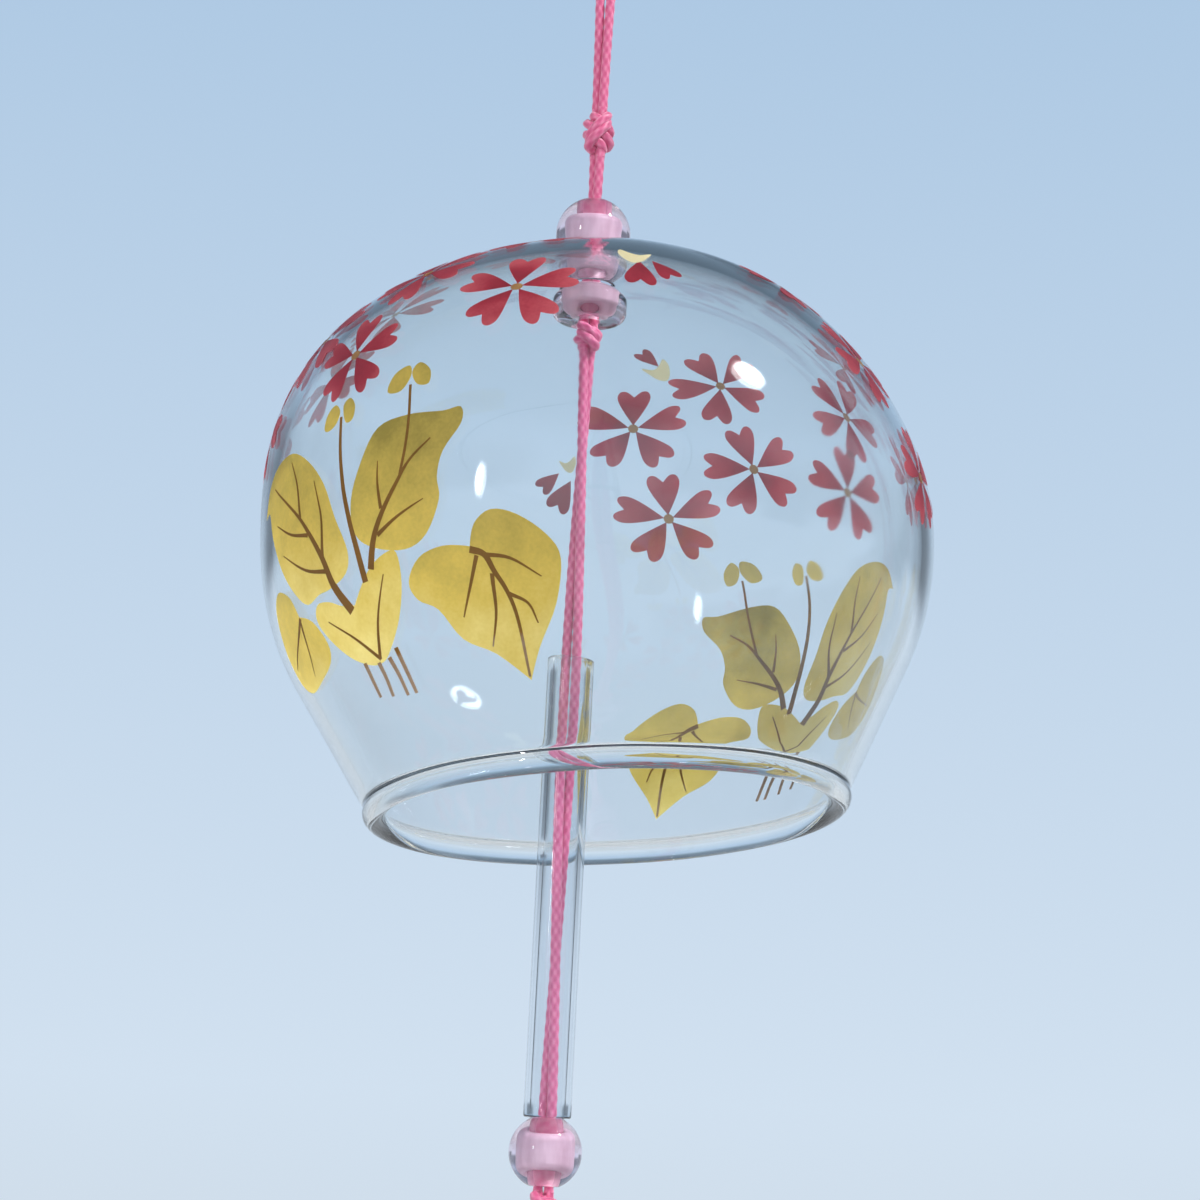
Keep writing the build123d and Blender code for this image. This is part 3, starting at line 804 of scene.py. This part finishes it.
# Stop knot
# The same cord, tied in one tight knot under the inner bead.
# The knot carries the bead, and the bead carries the glass.
stop_knot = tied_knot(
    "stop_knot_tied", "stop", top=-59.177 * MM, bottom=-62.577 * MM, width=3.45 * MM,
    wraps=1.0, slant=0.3 * MM, cross=1, above=0.4, below=0.9,
)
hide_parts("stop_knot")

# Clapper cord
# The same two strands hang on from the stop knot, with a slow twist.
# They go down through the glass tube and the bottom bead to the bottom knot.
clapper_cord, clapper_line = twin_strands(
    "clapper_strands", "clapper", heights=[-62.4, -94.0, -125.0, -157.2], start=0.9, twist=5.2,
)
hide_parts("clapper_cord")

# Clapper tube
# A length of drawn glass tube, with its ends cut and touched in the flame.
# It is loose on the cord, stands on the bottom bead and strikes the lip of the bell.
TUBE_R, TUBE_BORE, TUBE_SOFT = 2.605 * MM, 1.855 * MM, 0.25 * MM
TUBE_TOP, TUBE_LOW = -98.38 * MM, -149.2 * MM
SKEW_DEEP, SKEW_REACH = 0.25 * MM, 4 * MM
high, low = TUBE_TOP - TUBE_SOFT, TUBE_LOW + TUBE_SOFT
tube_outline = arc(TUBE_R - TUBE_SOFT, high, TUBE_SOFT, 90, 0, 5)
tube_outline += between((TUBE_R, high), (TUBE_R, low), 30)
tube_outline += arc(TUBE_R - TUBE_SOFT, low, TUBE_SOFT, 0, -90, 5)
tube_outline += arc(TUBE_BORE + TUBE_SOFT, low, TUBE_SOFT, -90, -180, 5)
tube_outline += between((TUBE_BORE, low), (TUBE_BORE, high), 30)
tube_outline += arc(TUBE_BORE + TUBE_SOFT, high, TUBE_SOFT, 180, 90, 5)


def cut_skew(r, z, a):
    """The top end was cut a little out of square."""
    share = max(0.0, (z - TUBE_TOP + SKEW_REACH) / SKEW_REACH)
    return Vector((r * cos(a), r * sin(a), z - SKEW_DEEP * share * (0.5 + 0.5 * cos(a))))


drawn_glass = clear_material("drawn_glass", (0.92, 0.94, 0.96), ior=1.5, haze=0.08, scale=150.0)
clapper_tube = turned("clapper_tube_drawn", tube_outline, 96, cut_skew)
clapper_tube.data.materials.append(drawn_glass)
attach(clapper_tube, "tube")
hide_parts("clapper_tube")

# Bottom bead and its knot
# The third bead, clear acrylic round a white barrel as the top one is, a little smaller.
# It stops the glass tube, and a knot in the cord under it stops the bead.
round_bead("bottom_bead", -152.86 * MM, 4.0 * MM, "clapper", "bottom_bead_shell", "bottom_bead_core")
bottom_knot = tied_knot(
    "bottom_knot_tied", "strip_knot", top=-156.91 * MM, bottom=-161.305 * MM, width=3.59 * MM,
    wraps=1.25, slant=0.4 * MM, cross=1, above=6.1, below=2 * pi,
)
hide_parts("bottom_knot")

# Strip loop
# The cord's last bight, below the bottom knot. One strand goes to the front of the paper
# and one to the back, and they join through its hole.
BIGHT_HALF = [(-0.6, 0, -161.0), (-0.6, 0, -163.555), (0, -3.5, -167.605), (0, -3.5, -173.105)]
strip_loop = braided("strip_loop_cord", [smooth_line(there_and_back(BIGHT_HALF))])
strip_loop.data.materials.append(pink_cord)
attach(strip_loop, "strip_bight")
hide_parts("strip_loop")

# Paper strip
# Plain cream card with a soft fibre, cut square with eased corners and punched with one hole.
# It hangs from the bight and catches the wind. Its solid has the right shape, so it keeps it.
CARD_CREAMS = [(0.3, (0.78, 0.74, 0.64)), (0.7, (0.85, 0.82, 0.73))]
cream_card, recipe, shader = new_material("cream_card")
pulp = recipe.speckle(recipe.stretched(recipe.spot(), (1.0, 1.0, 0.6)), 1100.0, 6.0)
cloud = recipe.speckle(recipe.spot(), 60.0)
recipe.bump(shader, pulp, 0.35, 0.08 * MM)
recipe.fill(shader, Base_Color=recipe.ramp(recipe.blend(pulp, cloud, 0.4), CARD_CREAMS), Roughness=0.85)
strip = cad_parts["paper_strip"]
strip.data.materials.clear()
strip.data.materials.append(cream_card)

# Studio
# A plain pale floor, clear from below, that fades into a pale surround, and soft white light from all round.
# Dark cards at the sides, which only the glass sees. One small bright lamp and one strip make the glints;
# a soft lamp in front and one behind fill the shade.
FLOOR_HALF, FLOOR_Z, FLOOR_FADE = 4, -0.3, (0.2, 1.1)


def eased(recipe, value, low, high, start=0.0, end=1.0):
    """Goes gently from start to end while a value goes from low to high."""
    node = recipe.node("MapRange", Value=value, From_Min=low, From_Max=high, To_Min=start, To_Max=end)
    node.interpolation_type = "SMOOTHSTEP"
    return node.outputs["Result"]


def mixed_colour(recipe, share, first, second):
    """One colour with a share of a second."""
    node = recipe.node("Mix")
    node.data_type = "RGBA"
    return recipe.fill(node, Factor=share, A=first, B=second).outputs["Result"]


floor_corners = [(FLOOR_HALF * x, FLOOR_HALF * y, FLOOR_Z) for x, y in ((-1, -1), (1, -1), (1, 1), (-1, 1))]
floor = surface("studio_floor", floor_corners, [(0, 1, 2, 3)])
pale_floor, recipe, shader = new_material("pale_floor")
recipe.fill(shader, Base_Color=(0.62, 0.66, 0.70, 1), Roughness=0.9)
across = recipe.node("SeparateXYZ", Vector=recipe.spot()).outputs
square = recipe.math("ADD", recipe.math("POWER", across["X"], 2.0), recipe.math("POWER", across["Y"], 2.0))
fade = eased(recipe, recipe.math("SQRT", square), *FLOOR_FADE)
from_below = recipe.node("NewGeometry").outputs["Backfacing"]
show_mixed(recipe, recipe.math("MAXIMUM", fade, from_below), shader, recipe.node("BsdfTransparent"))
floor.data.materials.append(pale_floor)

SKY = [
    (0.0, (0.60, 0.67, 0.74)), (0.47, (0.62, 0.70, 0.78)), (0.52, (0.64, 0.75, 0.87)),
    (0.70, (0.42, 0.58, 0.77)), (0.77, (0.16, 0.23, 0.31)), (1.0, (0.03, 0.045, 0.06)),
]
CARD_GREY, SOFT_WHITE = (0.05, 0.06, 0.075, 1), (0.63, 0.625, 0.61, 1)
world = bpy.data.worlds.new("pale_surround")
bpy.context.scene.world = world
world.use_nodes = True
recipe = Recipe(world.node_tree)
way = recipe.node("SeparateXYZ", Vector=recipe.node("TexCoord").outputs["Generated"]).outputs
sky = recipe.ramp(recipe.math("MULTIPLY_ADD", way["Z"], 0.5, 0.5), SKY)
side = recipe.math("ABSOLUTE", way["X"])
narrow_card = recipe.math(
    "MULTIPLY", eased(recipe, side, 0.78, 0.85), eased(recipe, side, 0.93, 0.98, 0.9, 0.0),
)
narrow_card = recipe.math("MULTIPLY", narrow_card, eased(recipe, way["Z"], 0.0, 0.06))
wide_card = recipe.math(
    "MULTIPLY", eased(recipe, side, 0.26, 0.5, 0.0, 0.75), eased(recipe, way["Z"], 0.07, 0.15),
)
cards = recipe.math("MAXIMUM", narrow_card, wide_card)
cards = recipe.math("MULTIPLY", cards, eased(recipe, way["Z"], 0.25, 0.5, 1.0, 0.0))
ray = recipe.node("LightPath").outputs
unseen = recipe.math("SUBTRACT", 1.0, ray["Is Camera Ray"])
carded_sky = mixed_colour(recipe, recipe.math("MULTIPLY", cards, unseen), sky, CARD_GREY)
mirrored = recipe.math("MAXIMUM", ray["Is Glossy Ray"], ray["Is Transmission Ray"])
looked_at = recipe.math("MAXIMUM", ray["Is Camera Ray"], mirrored)
surround = mixed_colour(recipe, looked_at, SOFT_WHITE, carded_sky)
recipe.fill(recipe.nodes["Background"], Color=surround, Strength=1.0)


def lamp(name, shape, place, aim, wide, tall, power):
    """One studio lamp, aimed at a point."""
    data = bpy.data.lights.new(name, "AREA")
    data.shape, data.size, data.size_y, data.energy = shape, wide, tall, power
    light = bpy.data.objects.new(name, data)
    light.location = place
    light.rotation_euler = (Vector(aim) - Vector(place)).to_track_quat("-Z", "Y").to_euler()
    bpy.context.scene.collection.objects.link(light)
    return light


def frost(light, gain):
    """Make a lamp bright in the middle and dim at its rim, so that its glint in the glass has a soft edge."""
    light.data.use_nodes = True
    recipe = Recipe(light.data.node_tree)
    reach = recipe.node("VectorMath")
    reach.operation = "DISTANCE"
    recipe.link(recipe.node("NewGeometry").outputs["Parametric"], reach.inputs[0])
    reach.inputs[1].default_value = (0.5, 0.5, 0)
    inward = recipe.math("MAXIMUM", recipe.math("MULTIPLY_ADD", reach.outputs["Value"], -2.0, 1.0), 0.0)
    glow = recipe.math("MULTIPLY", recipe.math("POWER", inward, 3.0), gain)
    recipe.link(glow, recipe.nodes["Emission"].inputs["Strength"])


BELL_AIM, STRIP_AIM = (0, 0, -0.09), (0, 0, -0.12)
round_lamp = lamp("round_lamp", "DISK", (0.55, -0.24, 0.62), BELL_AIM, wide=0.18, tall=0.18, power=5.6)
strip_lamp = lamp("strip_lamp", "RECTANGLE", (-0.65, -0.79, 0.06), BELL_AIM, wide=0.075, tall=0.3, power=1.5)
for bright_lamp in (round_lamp, strip_lamp):
    frost(bright_lamp, 10.0)
fill_lamp = lamp("fill_lamp", "DISK", (-0.35, -1.0, 0.15), STRIP_AIM, wide=0.5, tall=0.5, power=1.6)
back_lamp = lamp("back_lamp", "DISK", (0.45, 0.95, 0.2), STRIP_AIM, wide=0.5, tall=0.5, power=2.0)
for soft_lamp in (fill_lamp, back_lamp):
    soft_lamp.visible_glossy = soft_lamp.visible_transmission = False

CAMERA_PLACE, PITCH, ROLL = Vector((2.9, -329.7, -159.84)) * MM, radians(11.68), radians(2.89)
camera_data = bpy.data.cameras.new("camera")
camera_data.sensor_width, camera_data.lens, camera_data.clip_start = 36.0, 90.0, 0.01
camera = bpy.data.objects.new("camera", camera_data)
ahead = Vector((0, cos(PITCH), sin(PITCH)))
level_right, level_up = Vector((1, 0, 0)), Vector((0, -sin(PITCH), cos(PITCH)))
right = level_right * cos(ROLL) + level_up * sin(ROLL)
up = level_up * cos(ROLL) - level_right * sin(ROLL)
camera.matrix_world = Matrix.Translation(CAMERA_PLACE) @ Matrix((right, up, -ahead)).transposed().to_4x4()
bpy.context.scene.collection.objects.link(camera)
bpy.context.scene.camera = camera
bpy.context.scene.view_settings.view_transform = "Standard"
